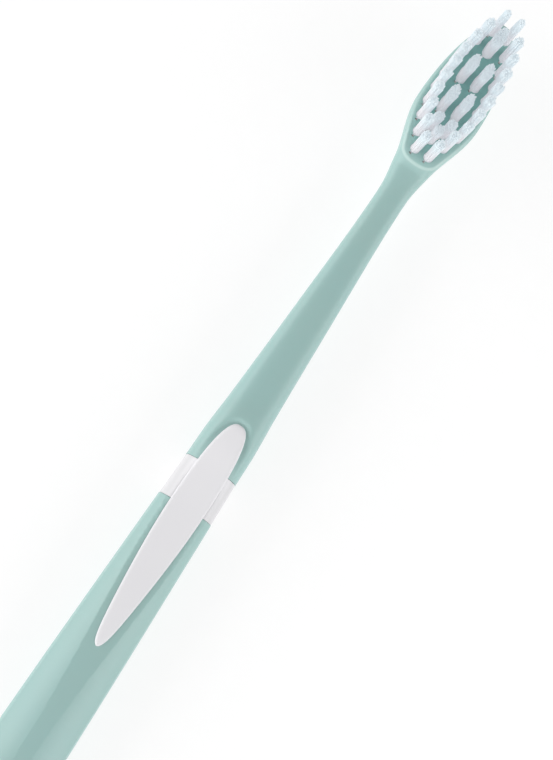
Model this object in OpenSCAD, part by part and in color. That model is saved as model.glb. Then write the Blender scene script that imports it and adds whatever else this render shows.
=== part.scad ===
// Manual toothbrush: one moulded handle with neck and head, a soft grip moulded into it, and
// tufts of bristles, each folded round a flat metal anchor that is driven into its socket.
// Millimetres. The brush lies on its back. +X runs to the toe of the head, +Z is up, where the
// bristles point, and +Y is the left side. The origin is on the table under the brush's middle.

/* [Overall] */
// Length of the brush, from the end of the handle to the toe of the head
overall_len = 188; // [180:1:200]

/* [Head] */
// Length of the head's flat face, from toe to heel
head_len = 27; // [26.4:0.2:30]
// Greatest width of the head
head_w = 11.1; // [10.8:0.1:12.4]
// Distance from the toe to the widest place of the head
head_widest_at = 17.2; // [15:0.2:18]
// Width across the heel of the face
heel_w = 6.35; // [6:0.05:7.4]
// Thickness of the head under its face
head_t = 4.6; // [4.2:0.1:5.6]
// Height of the head's face above the table
face_z = 9.2; // [8.8:0.1:10.4]
// Height of the step from the neck up to the face
heel_step = 0.75; // [0.5:0.05:0.9]
// Length of that step along the brush
heel_run = 1.4; // [1:0.1:2]
// Length over which the toe rounds down
toe_round = 3.2; // [2.4:0.1:4]
// Squareness of the head's cross-section, where 2 is an ellipse
head_square = 3.4; // [3.2:0.1:4]

/* [Neck] */
// Distance from the toe to the narrowest place of the neck
neck_at = 32.6; // [32:0.2:38]
// Width of the neck at its narrowest
neck_w = 4.8; // [4.2:0.1:6]
// Height of the neck's top above the table
neck_top_z = 8.1; // [7.6:0.1:8.3]
// Thickness of the neck
neck_t = 4.7; // [4:0.1:5.2]
// Distance from the toe to the throat, where the neck grows into the handle
throat_at = 57.5; // [52:0.5:64]
// Width at the throat
throat_w = 6.6; // [6:0.1:7.6]
// Thickness at the throat
throat_t = 6; // [5:0.1:6.8]

/* [Handle] */
// Width of the handle at the grip band
waist_w = 9.25; // [8.8:0.05:10.4]
// Height of the handle's top at the grip band
waist_top_z = 8.3; // [7.8:0.1:8.8]
// Distance from the toe to the widest place of the handle
widest_at = 153; // [144:1:160]
// Greatest width of the handle
widest_w = 12.2; // [11.6:0.1:14]
// Height of the handle's top at its widest place
widest_top_z = 9.3; // [8.8:0.1:10.4]
// Width that the handle would have at its end, if the end weren't round
tail_w = 11.2; // [9.6:0.1:12]
// Height of the handle's top near its end
tail_top_z = 8.2; // [7.6:0.1:9]
// Length over which the end of the handle rounds off
end_round = 9; // [6:0.5:12]
// Depth sliced off the back, which leaves the flat that the brush lies on
back_flat = 0.25; // [0.15:0.05:0.4]
// Squareness of the cross-section of handle and neck, where 2 is an ellipse
handle_square = 2.5; // [2.2:0.1:3]

/* [Grip] */
// Distance from the toe to the nearer edge of the grip's band
band_at = 83.9; // [82:0.1:88]
// Length of the band along the handle
band_len = 7.1; // [5:0.1:9]
// Depth of the groove that holds the band
band_depth = 0.9; // [0.6:0.1:1.2]
// How far the band lies below the handle's surface
band_sink = 0.12; // [0.04:0.02:0.24]
// Distance from the toe to the round end of the thumb pad
pad_at = 76.1; // [75:0.1:79]
// Length of the thumb pad
pad_len = 39.5; // [36:0.1:44]
// Greatest width of the thumb pad
pad_w = 5.8; // [5:0.1:6.4]
// Depth of the pad's pocket under the handle's surface at the band
pad_depth = 2.2; // [1.6:0.1:2.8]
// How far the pad stands proud of the handle
pad_rise = 0.32; // [0.1:0.02:0.5]
// Width of the rounding round the pad's edge
pad_edge = 0.55; // [0.3:0.05:0.8]

/* [Tufts] */
// Diameter of a round tuft where it leaves the face
tuft_d = 1.6; // [1.45:0.05:1.7]
// Diameter across the long tuft at the toe
toe_tuft_d = 1.8; // [1.6:0.05:1.9]
// How much longer than wide the long tufts are
tuft_stretch = 1.4; // [1.1:0.1:1.6]
// Height of the outer tufts above the face
bristle_h = 10; // [9:0.2:12]
// Diameter of one strand
strand_d = 0.36; // [0.26:0.02:0.4]
// Strands in a round tuft
round_strands = 14; // [12:1:16]
// Strands in a long tuft
long_strands = 23; // [20:1:25]
// Tufts in each outer column
outer_rows = 10; // [9:1:10]
// Distance from the toe to the first row of tufts
toe_row_at = 2.4; // [2.3:0.1:2.8]
// Distance from the heel of the face back to the last row of tufts
heel_row_gap = 2; // [1.9:0.1:2.6]
// Distance of the two inner columns from the middle
inner_y = 1.32; // [1.25:0.01:1.4]
// Angle by which the two toe tufts lean out
toe_lean = 3; // [0:0.5:5]

/* [Sockets and anchors] */
// Depth of a tuft's socket
socket_depth = 2.9; // [2.6:0.1:3.1]
// Gap between a tuft and the wall of its socket
socket_gap = 0.05; // [0.03:0.01:0.08]
// Thickness of an anchor
anchor_t = 0.26; // [0.2:0.02:0.3]
// Height of an anchor
anchor_h = 1.4; // [1.1:0.1:1.6]
// How far each end of an anchor bites into the socket's wall
anchor_bite = 0.2; // [0.12:0.02:0.28]
// Gap all round an anchor, in its slit and in the fold of its tuft
anchor_gap = 0.02; // [0.01:0.01:0.04]
// Thickness of the folded bristles under an anchor
fold_t = 0.55; // [0.4:0.05:0.7]
// Angle of the anchors, turned from square across the head
anchor_turn = 74; // [72:1:84]

/* [Hidden] */
green = [0.62, 0.76, 0.73];
white = [0.9, 0.9, 0.91];
clear_white = [0.94, 0.96, 0.97];
nickel = [0.75, 0.72, 0.64];

// How far a cut runs past what it cuts.
overrun = 1;
// Height of the head's uncut top over its face, which sets how far in the face's edge lies.
crest = 1.4;
// Length over which the uncut top comes down before the heel of the face.
heel_ramp = 1.9;
// How far the underside curves up at the very end, as a share of end_round.
tail_lift_share = 0.2;
// Points round each cross-section.
section_sides = 36;

band_end = band_at + band_len;
band_mid = band_at + band_len / 2;
tail_at = overall_len - end_round;

// Distance from the toe, and the width there.
widths = [
    [head_widest_at, head_w],
    [head_len, heel_w],
    [neck_at, neck_w],
    [throat_at, throat_w],
    [band_mid, waist_w],
    [widest_at, widest_w],
    [overall_len, tail_w],
];
// Distance from the toe, and the height of the top there.
tops = [
    [0, face_z + crest],
    [head_len - heel_ramp, face_z + crest],
    [head_len + heel_run, face_z - heel_step],
    [neck_at, neck_top_z],
    [band_mid, waist_top_z],
    [widest_at, widest_top_z],
    [overall_len, tail_top_z],
];
// Distance from the toe, and the height of the underside there, before the back is sliced.
undersides = [
    [0, face_z - head_t],
    [head_widest_at, face_z - head_t],
    [neck_at, neck_top_z - neck_t],
    [throat_at, (neck_top_z + waist_top_z) / 2 - throat_t],
    [band_at, -back_flat],
    [tail_at, -back_flat],
    [overall_len, tail_lift_share * end_round - back_flat],
];
// Distance from the toe, and the squareness of the section there.
squares = [
    [0, head_square],
    [head_widest_at, head_square],
    [neck_at, handle_square],
    [overall_len, handle_square],
];

// Place along X of a point at a distance from the toe.
function at(from_toe) = overall_len / 2 - from_toe;

// A smooth curve through a table of [place, value], which never overshoots a value.
function secant(t, i) = (t[i + 1][1] - t[i][1]) / (t[i + 1][0] - t[i][0]);
function slope(t, i) =
    i == 0 || i == len(t) - 1 || secant(t, i - 1) * secant(t, i) <= 0
        ? 0
        : 2 * secant(t, i - 1) * secant(t, i) / (secant(t, i - 1) + secant(t, i));
function span_at(t, u, i = 0) = i >= len(t) - 2 || u < t[i + 1][0] ? i : span_at(t, u, i + 1);
function clamped(s) = min(max(s, 0), 1);
function curve(t, u) =
    let (
        i = span_at(t, u),
        wide = t[i + 1][0] - t[i][0],
        s = clamped((u - t[i][0]) / wide)
    )
    (2 * pow(s, 3) - 3 * pow(s, 2) + 1) * t[i][1]
        + (pow(s, 3) - 2 * pow(s, 2) + s) * wide * slope(t, i)
        + (3 * pow(s, 2) - 2 * pow(s, 3)) * t[i + 1][1]
        + (pow(s, 3) - pow(s, 2)) * wide * slope(t, i + 1);

// Grows from 0 to 1 as share does, along a quarter of an ellipse of that squareness.
function rounded(share, square = 2) = pow(1 - pow(1 - clamped(share), square), 1 / square);

// The outside of the brush at a distance u from the toe.
function end_share(u) = rounded((overall_len - u) / end_round, handle_square);
function half_width(u) =
    end_share(u)
        * (u < head_widest_at
            ? head_w / 2 * rounded(u / head_widest_at)
            : curve(widths, u) / 2);
function middle_z(u) = (curve(tops, u) + curve(undersides, u)) / 2;
function half_thickness(u) =
    (curve(tops, u) - curve(undersides, u)) / 2 * rounded(u / toe_round) * end_share(u);
function surface_z(u, y) =
    let (n = curve(squares, u))
    middle_z(u) + half_thickness(u) * pow(1 - pow(min(abs(y) / half_width(u), 1), n), 1 / n);

function signed_power(v, p) = sign(v) * pow(abs(v), p);
// The cross-section's points, drawn in by an inset.
function section(u, inset = 0) =
    let (p = 2 / curve(squares, u))
    [
        for (k = [0:section_sides - 1])
            let (a = 360 * (k + 0.5) / section_sides)
            [
                at(u),
                (half_width(u) - inset) * signed_power(cos(a), p),
                middle_z(u) + (half_thickness(u) - inset) * signed_power(sin(a), p),
            ],
    ];

function even_steps(from, to, count) = [for (i = [1:count]) from + (to - from) * i / count];

// Angles along a quarter round, which starts with a tiny flat.
end_angles = [3, 10, 20, 30, 40, 50, 60, 70, 80, 90];

// Cross-sections from the toe to the groove's first wall, along the groove, and on to the end.
front_places = concat(
    [for (a = end_angles) head_widest_at * (1 - cos(a))],
    even_steps(head_widest_at, head_len - heel_ramp, 4),
    even_steps(head_len - heel_ramp, head_len + heel_run, 5),
    even_steps(head_len + heel_run, neck_at, 3),
    even_steps(neck_at, band_at, 9)
);
groove_places = [band_at, band_mid, band_end];
rear_places = concat(
    [band_end],
    even_steps(band_end, widest_at, 9),
    even_steps(widest_at, tail_at, 3),
    [for (i = [2:len(end_angles)]) tail_at + end_round * cos(end_angles[len(end_angles) - i])]
);

function flat_points(rings) = [for (ring = rings) each ring];
// Faces between neighbouring rings of n points each.
function skin(rings, n) = [
    for (r = [0:rings - 2], k = [0:n - 1])
        let (a = r * n + k, b = r * n + (k + 1) % n)
        each [[a, b, b + n], [a, b + n, a + n]],
];

// A solid through rings of points, with a flat at each end.
module swept(rings) {
    n = len(rings[0]);
    last = (len(rings) - 1) * n;
    polyhedron(
        points = flat_points(rings),
        faces = concat(
            skin(len(rings), n),
            [[for (k = [1:n]) n - k]],
            [[for (k = [0:n - 1]) last + k]]
        ),
        convexity = 6
    );
}

// The handle's outside with the groove for the band, before anything is cut.
module handle_blank() {
    swept(
        concat(
            [for (u = front_places) section(u)],
            [for (u = groove_places) section(u, band_depth)],
            [for (u = rear_places) section(u)]
        )
    );
}

// What is sliced off so that the face is flat.
module face_trim() {
    translate([at(neck_at), -head_w, face_z])
        cube([neck_at + overrun, 2 * head_w, crest + overrun]);
}

// What is sliced off so that the brush lies on a flat.
module back_trim() {
    translate([at(overall_len + overrun), -widest_w, -widest_w])
        cube([overall_len + 2 * overrun, 2 * widest_w, widest_w]);
}

// The thumb pad's outline is a round-ended leaf: its widest place, how fast it narrows behind
// that, and how blunt its two ends are.
pad_widest_share = 0.4;
pad_taper_share = 0.69;
pad_taper_power = 1.62;
pad_front_square = 2.7;
pad_tip_square = 20;
pad_steps = 18;
pad_widest_at = pad_at + pad_len * pad_widest_share;
pad_end = pad_at + pad_len;

function pad_half(u) =
    let (t = (u - pad_widest_at) / (pad_end - pad_widest_at))
    pad_w / 2
        * (t < 0
            ? rounded((u - pad_at) / (pad_widest_at - pad_at), pad_front_square)
            : (1 - pad_taper_share * pow(t, pad_taper_power))
                * sqrt(max(1 - pow(t, pad_tip_square), 0)));

// Places along the pad, closer together towards its ends.
pad_places = concat(
    [
        for (a = end_angles)
            pad_at + (pad_widest_at - pad_at) * (1 - pow(cos(a), 2 / pad_front_square)),
    ],
    [for (i = [1:pad_steps]) pad_widest_at + (pad_end - pad_widest_at) * sin(89 * i / pad_steps)]
);
pad_floor_z = curve(tops, band_mid) - pad_depth;

module pad_pocket() {
    n = len(pad_places);
    translate([0, 0, pad_floor_z])
        linear_extrude(height = waist_top_z + overrun)
            polygon(
                concat(
                    [for (u = pad_places) [at(u), pad_half(u)]],
                    [for (i = [1:n]) [at(pad_places[n - i]), -pad_half(pad_places[n - i])]]
                )
            );
}

// Across the pad: shares of its half width, from one edge to the other.
pad_cross_shares = [1, 0.93, 0.8, 0.45, 0, -0.45, -0.8, -0.93, -1];

// Height of the pad's crowned top over the point u, y: its edge is level with the handle.
function pad_top_z(u, y) =
    let (in_by = min(pad_half(u) - abs(y), u - pad_at, pad_end - u))
    surface_z(u, y) + pad_rise * rounded(in_by / pad_edge);

// The pad fills its pocket and stands a little proud of it.
module pad() {
    swept([
        for (u = pad_places)
            let (half = pad_half(u))
            concat(
                [[at(u), half, pad_floor_z]],
                [for (s = pad_cross_shares) [at(u), s * half, pad_top_z(u, s * half)]],
                [[at(u), -half, pad_floor_z]]
            ),
    ]);
}

// The band goes all round the handle in its groove.
module band() {
    outer = [for (u = groove_places) section(u, band_sink)];
    inner = [for (u = groove_places) section(u, band_depth)];
    n = section_sides;
    r = len(groove_places);
    turned = [for (f = skin(r, n)) [f[2] + r * n, f[1] + r * n, f[0] + r * n]];
    polyhedron(
        points = concat(flat_points(outer), flat_points(inner)),
        faces = concat(
            skin(r, n),
            turned,
            [
                for (k = [0:n - 1])
                    let (a = k, b = (k + 1) % n, c = r * n)
                    each [[a, c + b, b], [a, c + a, c + b]],
            ],
            [
                for (k = [0:n - 1])
                    let (a = (r - 1) * n + k, b = (r - 1) * n + (k + 1) % n, c = r * n)
                    each [[a, b, c + b], [a, c + b, c + a]],
            ]
        ),
        convexity = 6
    );
}

// Each tuft is [name, distance from the toe, y, radius, stretch, strands, height, lean].
// Its stretch is how much longer than wide it is, and its lean is an angle towards the toe.

// Along an outer column, from toe to heel: the share of the way, and the share of the half width.
column_shares = [
    [0, 0.23],
    [0.11, 0.468],
    [0.22, 0.597],
    [0.33, 0.67],
    [0.44, 0.7],
    [0.56, 0.705],
    [0.67, 0.68],
    [0.78, 0.6],
    [0.89, 0.43],
    [1, 0.225],
];
// Along an outer column, from toe to heel: the share of the way, and the share of bristle_h.
height_shares = [
    [0, 1.12],
    [0.11, 1.04],
    [0.33, 1],
    [1, 0.96],
];
// The inner tufts: the share of the way from the first row to the last, the distance from the
// middle as a share of inner_y, the height as a share of bristle_h, and whether the tuft is long.
inner_shares = [
    [0.374, 1, 0.8, true],
    [0.625, 1, 0.78, true],
    [0.808, 0.9, 0.74, false],
];
toe_middle_shares = [0.116, 0, 0.78, true];
heel_middle_shares = [0.888, 0, 0.74, false];

function side_name(side) = side > 0 ? "left" : "right";
function row_share(i) = (i - 1) / (outer_rows - 1);
function place_between_rows(share) =
    toe_row_at + (head_len - heel_row_gap - toe_row_at) * share;
function outer_tuft(side, i) =
    [
        str("tuft_", side_name(side), "_", i),
        place_between_rows(row_share(i)),
        side * head_w / 2 * curve(column_shares, row_share(i)),
        tuft_d / 2,
        0,
        round_strands,
        bristle_h * curve(height_shares, row_share(i)),
        i == 1 ? toe_lean : 0,
    ];
function inner_tuft(name, side, shares, d) =
    [
        name,
        place_between_rows(shares[0]),
        side * inner_y * shares[1],
        d / 2,
        shares[3] ? tuft_stretch : 0,
        shares[3] ? long_strands : round_strands,
        bristle_h * shares[2],
        0,
    ];

tufts = concat(
    [for (side = [1, -1], i = [1:outer_rows]) outer_tuft(side, i)],
    [
        for (side = [1, -1], i = [1:len(inner_shares)])
            inner_tuft(
                str("tuft_inner_", side_name(side), "_", i), side, inner_shares[i - 1], tuft_d
            ),
    ],
    [
        inner_tuft("tuft_toe_middle", 0, toe_middle_shares, toe_tuft_d),
        inner_tuft("tuft_heel_middle", 0, heel_middle_shares, tuft_d),
    ]
);

// How much wider a tuft's bundle is at its tips than at the face, as a share.
splay_share = 1.12;
// How much lower the outermost tips are than the middle ones.
tip_dome = 0.3;
// Depth under the face at which the plug of folded bristles ends and single strands start.
plug_sink = 0.1;
// Sides of a round socket, and of the plug of bristles in it.
socket_sides = 32;
plug_sides = 12;

socket_floor_z = face_z - socket_depth;
anchor_z = socket_floor_z + fold_t;

// Distance from the middle of a tuft to the end of its anchor, which crosses the round end of a
// long socket.
function anchor_reach(t) =
    let (
        shift = t[4] / 2,
        along = shift * sin(anchor_turn)
    )
    along + sqrt(pow(along, 2) - pow(shift, 2) + pow(t[3] + socket_gap, 2)) + anchor_bite;

// A round or long upright pin, on the face's plan at a tuft's place.
module upright(t, r, from_z, to_z, sides) {
    for (side = t[4] > 0 ? [-1, 1] : [0])
        translate([at(t[1]) + side * t[4] / 2, t[2], from_z])
            cylinder(h = to_z - from_z, r = r, $fn = sides);
    if (t[4] > 0)
        translate([at(t[1]) - t[4] / 2, t[2] - r, from_z])
            cube([t[4], 2 * r, to_z - from_z]);
}

// A flat upright plate across a tuft, along its anchor.
module anchor_plate(t, gap, top_z) {
    reach = anchor_reach(t) + gap;
    translate([at(t[1]), t[2], anchor_z])
        rotate([0, 0, anchor_turn])
            translate([-anchor_t / 2 - gap, -reach, 0])
                cube([anchor_t + 2 * gap, 2 * reach, top_z - anchor_z]);
}

// The socket, with the slit that the anchor cuts in its wall on the way down.
module socket(t) {
    upright(t, t[3] + socket_gap, socket_floor_z, face_z + overrun, socket_sides);
    anchor_plate(t, anchor_gap, face_z + overrun);
}

// One straight strand of three sides between two points, each end cut square.
module strand(from, to) {
    v = to - from;
    translate(from)
        rotate([0, acos(v.z / norm(v)), atan2(v.y, v.x)])
            cylinder(h = norm(v), d = strand_d, $fn = 3);
}

// Angle from each strand of a tuft to the next, which spreads them evenly.
spread_angle = 137.5;

// A tuft: its strands, and the plug of folded bristles with the gap that its anchor fills.
module tuft(t) {
    bundle = t[3] - strand_d / 2;
    color(clear_white) {
        difference() {
            upright(t, t[3], socket_floor_z, face_z - plug_sink, plug_sides);
            translate([0, 0, -anchor_gap])
                anchor_plate(t, anchor_gap, anchor_z + anchor_h + 2 * anchor_gap);
        }
        for (i = [0:t[5] - 1]) {
            share = sqrt((i + 0.5) / t[5]);
            place = [
                bundle * share * cos(spread_angle * i) * (1 + t[4] / (2 * bundle)),
                bundle * share * sin(spread_angle * i),
                0,
            ];
            foot = [at(t[1]), t[2], face_z];
            strand(
                foot + place - [0, 0, 2 * plug_sink],
                foot
                    + place * splay_share
                    + [t[6] * tan(t[7]), 0, t[6] - tip_dome * share * share]
            );
        }
    }
}

module handle() {
    color(green)
        difference() {
            handle_blank();
            face_trim();
            back_trim();
            pad_pocket();
            for (t = tufts)
                socket(t);
        }
}

module grip() {
    color(white)
        difference() {
            union() {
                band();
                pad();
            }
            back_trim();
        }
}

module anchors() {
    color(nickel)
        for (t = tufts)
            anchor_plate(t, 0, anchor_z + anchor_h);
}

handle();
grip();
anchors();
for (t = tufts)
    tuft(t);
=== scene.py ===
import math
import random

import bmesh
import bpy
from mathutils import Matrix, Vector


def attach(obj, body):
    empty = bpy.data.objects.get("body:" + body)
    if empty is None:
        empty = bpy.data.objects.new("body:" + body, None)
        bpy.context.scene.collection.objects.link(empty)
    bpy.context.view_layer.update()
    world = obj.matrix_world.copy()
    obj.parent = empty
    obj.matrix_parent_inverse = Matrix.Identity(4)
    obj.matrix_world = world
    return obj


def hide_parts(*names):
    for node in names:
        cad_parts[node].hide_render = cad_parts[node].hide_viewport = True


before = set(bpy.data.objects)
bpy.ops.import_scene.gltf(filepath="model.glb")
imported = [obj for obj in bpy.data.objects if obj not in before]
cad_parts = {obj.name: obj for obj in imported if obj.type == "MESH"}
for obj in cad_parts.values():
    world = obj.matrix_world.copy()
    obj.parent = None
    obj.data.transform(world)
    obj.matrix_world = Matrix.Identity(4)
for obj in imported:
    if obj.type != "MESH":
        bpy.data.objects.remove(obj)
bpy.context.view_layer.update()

# A manual toothbrush that lies on its back: X runs to the toe of the head, Z is up, Y is left.
MM = 0.001
# Points nearer than this are one point.
TINY = 0.001 * MM
# Heights and distances nearer than this count as the same.
NEAR = 0.01 * MM
# How far a cut runs past what it cuts.
PAST = 1 * MM

# Along the brush, as distances from the toe.
LENGTH = 188 * MM
HEAD_LENGTH = 27 * MM
HEAD_WIDEST = 17.2 * MM
HEEL_RAMP = 1.9 * MM
HEEL_RUN = 0.35 * MM
HEEL_FOOT = 1.35 * MM
NECK = 32.6 * MM
THROAT = 57.5 * MM
BAND = 83.9 * MM
BAND_LENGTH = 7.1 * MM
HANDLE_WIDEST = 153 * MM
END_ROUND = 9 * MM
PAD = 76.1 * MM
PAD_LENGTH = 39.5 * MM

# Widths and heights.
HEAD_WIDTH = 11.1 * MM
HEEL_WIDTH = 6.35 * MM
NECK_WIDTH = 4.8 * MM
THROAT_WIDTH = 6.6 * MM
WAIST_WIDTH = 9.25 * MM
HANDLE_WIDTH = 12.2 * MM
TAIL_WIDTH = 11.2 * MM
PAD_WIDTH = 5.8 * MM
FACE_HEIGHT = 9.2 * MM
HEAD_THICKNESS = 4.6 * MM
CREST = 1.4 * MM
HEEL_STEP = 0.5 * MM
HEEL_DROP = 0.92 * MM
NECK_TOP = 8.1 * MM
NECK_THICKNESS = 4.7 * MM
THROAT_THICKNESS = 6 * MM
WAIST_TOP = 8.3 * MM
HANDLE_TOP = 9.3 * MM
TAIL_TOP = 8.2 * MM
TAIL_LIFT = 1.8 * MM
BACK_FLAT = 0.25 * MM
TOE_ROUND = 3.2 * MM

# How square the cross-sections and the handle's end are: 2 is an ellipse, and more is squarer.
HEAD_SQUARENESS = 3.4
NECK_SQUARENESS = 2.9
BAND_SQUARENESS = 2.7
HANDLE_SQUARENESS = 2.3
END_SQUARENESS = 2.5

TAIL = LENGTH - END_ROUND
BAND_MIDDLE = BAND + BAND_LENGTH / 2
BAND_END = BAND + BAND_LENGTH
PAD_END = PAD + PAD_LENGTH

# Tables of places from the toe with the value at each.
WIDTHS = [
    (HEAD_WIDEST, HEAD_WIDTH),
    (HEAD_LENGTH, HEEL_WIDTH),
    (NECK, NECK_WIDTH),
    (THROAT, THROAT_WIDTH),
    (BAND_MIDDLE, WAIST_WIDTH),
    (HANDLE_WIDEST, HANDLE_WIDTH),
    (LENGTH, TAIL_WIDTH),
]
TOPS = [
    (0, FACE_HEIGHT + CREST),
    (HEAD_LENGTH - HEEL_RAMP, FACE_HEIGHT + CREST),
    (HEAD_LENGTH + HEEL_RUN, FACE_HEIGHT - HEEL_STEP),
    (HEAD_LENGTH + HEEL_FOOT, FACE_HEIGHT - HEEL_DROP),
    (NECK, NECK_TOP),
    (BAND_MIDDLE, WAIST_TOP),
    (HANDLE_WIDEST, HANDLE_TOP),
    (LENGTH, TAIL_TOP),
]
UNDERSIDES = [
    (0, FACE_HEIGHT - HEAD_THICKNESS),
    (HEAD_WIDEST, FACE_HEIGHT - HEAD_THICKNESS),
    (NECK, NECK_TOP - NECK_THICKNESS),
    (THROAT, (NECK_TOP + WAIST_TOP) / 2 - THROAT_THICKNESS),
    (BAND, -BACK_FLAT),
    (TAIL, -BACK_FLAT),
    (LENGTH, TAIL_LIFT - BACK_FLAT),
]
SQUARENESSES = [
    (0, HEAD_SQUARENESS),
    (HEAD_WIDEST, HEAD_SQUARENESS),
    (NECK, NECK_SQUARENESS),
    (PAD, NECK_SQUARENESS),
    (BAND_END, BAND_SQUARENESS),
    (PAD_END, HANDLE_SQUARENESS),
    (LENGTH, HANDLE_SQUARENESS),
]
# The facets on top of the handle: where they run out, and how far they lie off the skin. The
# table has the width of the flat one, as a share of the handle's width.
FACET_END = 172 * MM
FACET_LIFT = 0.01 * MM
FACET = [
    (0, 0),
    (PAD, 0.25),
    (BAND, 0.64),
    (BAND_END, 0.72),
    (PAD_END - 16 * MM, 0.67),
    (PAD_END - 8 * MM, 0.54),
    (PAD_END, 0.4),
    (PAD_END + 8 * MM, 0.28),
    (PAD_END + 16 * MM, 0.2),
    (PAD_END + 26 * MM, 0.17),
    (FACET_END, 0),
    (LENGTH, 0),
]


def at(from_toe):
    """X of a place at a distance from the toe."""
    return LENGTH / 2 - from_toe


def toe_distance(point):
    """How far a point is from the toe."""
    return LENGTH / 2 - point.x


def clamped(share):
    return min(max(share, 0), 1)


def eased(share):
    """Leads from 0 to 1 with a gentle start and a gentle end."""
    return share * share * (3 - 2 * share)


def slope(table, i):
    """How steeply the smooth curve through a table runs at its point i."""
    if i in (0, len(table) - 1):
        return 0
    before, here, after = table[i - 1 : i + 2]
    rise = (here[1] - before[1]) / (here[0] - before[0])
    fall = (after[1] - here[1]) / (after[0] - here[0])
    return 0 if rise * fall <= 0 else 2 * rise * fall / (rise + fall)


def curve(table, place):
    """Value at a place of the smooth curve through a table of places and values."""
    i = max([k for k in range(len(table) - 1) if place >= table[k][0]], default=0)
    (start, low), (end, high) = table[i : i + 2]
    run = end - start
    share = clamped((place - start) / run)
    return (
        low + (high - low) * eased(share)
        + run * slope(table, i) * share * (1 - share) ** 2
        - run * slope(table, i + 1) * share * share * (1 - share)
    )


def arch(share, square):
    """Height of a squared ellipse at a share of its half width, as a share of its half height."""
    return (1 - share**square) ** (1 / square)


def rounded(share, square=2):
    """Grows from 0 to 1 as share does, along a quarter of a squared ellipse."""
    return arch(1 - clamped(share), square)


def end_share(from_toe):
    """How much of its full size the handle has near its round end."""
    return rounded((LENGTH - from_toe) / END_ROUND, END_SQUARENESS)


def half_width(from_toe):
    if from_toe < HEAD_WIDEST:
        return HEAD_WIDTH / 2 * rounded(from_toe / HEAD_WIDEST)
    return curve(WIDTHS, from_toe) / 2 * end_share(from_toe)


def middle_height(from_toe):
    return (curve(TOPS, from_toe) + curve(UNDERSIDES, from_toe)) / 2


def half_height(from_toe):
    full = (curve(TOPS, from_toe) - curve(UNDERSIDES, from_toe)) / 2
    return full * rounded(from_toe / TOE_ROUND) * end_share(from_toe)


def arched_height(from_toe, share):
    """Height of the handle's round top at a share of its half width."""
    square = curve(SQUARENESSES, from_toe)
    return middle_height(from_toe) + half_height(from_toe) * arch(share, square)


def facet_height(from_toe):
    """Height of the long flat facet that the thumb pad lies in."""
    return arched_height(from_toe, curve(FACET, from_toe)) + FACET_LIFT


def skin_height(from_toe, y):
    """Height of the handle's round top over a point."""
    return arched_height(from_toe, min(abs(y) / half_width(from_toe), 1))


def steps(start, end, count):
    """Even places after start, up to end."""
    return [start + (end - start) * (i + 1) / count for i in range(count)]


# Modelling by hand: what is selected, and the modes.

PIN_SIDES = 24


def only(obj):
    """Selects one object and makes it the active one."""
    bpy.ops.object.select_all(action="DESELECT")
    obj.select_set(True)
    bpy.context.view_layer.objects.active = obj
    return obj


def edit(obj):
    only(obj)
    bpy.ops.object.mode_set(mode="EDIT")


def leave():
    bpy.ops.object.mode_set(mode="OBJECT")
    return bpy.context.active_object


def pick(test, kind="verts"):
    """In edit mode, selects the vertices, edges or faces that pass a test."""
    bpy.ops.mesh.select_all(action="DESELECT")
    mesh = bmesh.from_edit_mesh(bpy.context.active_object.data)
    for part in getattr(mesh, kind):
        if test(part):
            part.select_set(True)
    mesh.select_flush(True)
    bmesh.update_edit_mesh(bpy.context.active_object.data)


def looks_up(face):
    """Whether a face is level and looks upwards."""
    return face.normal.z > 0.99


def lies_at(face, height):
    """Whether a face's middle is at a height."""
    return abs(face.calc_center_median().z - height) < NEAR


def settle(obj):
    """Moves the object's place into its mesh."""
    only(obj)
    bpy.ops.object.transform_apply(location=True, rotation=True, scale=True)
    return obj


def modifier(obj, kind, **settings):
    """Adds a modifier with its settings, and applies it."""
    only(obj)
    bpy.ops.object.modifier_add(type=kind)
    added = obj.modifiers[-1]
    for name, value in settings.items():
        setattr(added, name, value)
    bpy.ops.object.modifier_apply(modifier=added.name)
    return obj


def copy_of(obj, name):
    """A copy with a mesh of its own."""
    twin = obj.copy()
    twin.data = obj.data.copy()
    twin.name = name
    bpy.context.scene.collection.objects.link(twin)
    return twin


def joined(parts, name):
    bpy.ops.object.select_all(action="DESELECT")
    for part in parts:
        part.select_set(True)
    bpy.context.view_layer.objects.active = parts[0]
    bpy.ops.object.join()
    whole = bpy.context.active_object
    whole.name = name
    return whole


def carve(obj, cutter, operation="DIFFERENCE"):
    """Cuts a shape out of an object, or joins it on, and throws the cutter away."""
    modifier(obj, "BOOLEAN", operation=operation, solver="MANIFOLD", object=cutter)
    bpy.data.objects.remove(cutter)
    return obj


def block(low, high):
    """A box between two corners, to cut with."""
    bpy.ops.object.select_all(action="DESELECT")
    bpy.ops.mesh.primitive_cube_add(size=1, location=(Vector(low) + Vector(high)) / 2)
    obj = bpy.context.active_object
    obj.scale = Vector(high) - Vector(low)
    return settle(obj)


def pin(radius, height, middle, stretch):
    """An upright pin, pulled long along the brush by a stretch."""
    bpy.ops.object.select_all(action="DESELECT")
    bpy.ops.mesh.primitive_cylinder_add(
        vertices=PIN_SIDES, radius=radius, depth=height, location=middle
    )
    obj = bpy.context.active_object
    edit(obj)
    for side in (-1, 1):
        pick(lambda v: v.co.x * side > NEAR)
        bpy.ops.transform.translate(value=(side * stretch / 2, 0, 0))
    leave()
    return settle(obj)


def extrude_to(obj, height):
    """Gives a sheet straight sides, and a flat end at a height."""
    edit(obj)
    bpy.ops.mesh.select_all(action="SELECT")
    bpy.ops.mesh.region_to_loop()
    bpy.ops.mesh.extrude_region_move()
    bpy.ops.transform.resize(value=(1, 1, 0), center_override=(0, 0, height))
    bpy.ops.mesh.edge_face_add()
    bpy.ops.mesh.select_all(action="SELECT")
    bpy.ops.mesh.normals_make_consistent(inside=False)
    leave()
    return obj


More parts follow.
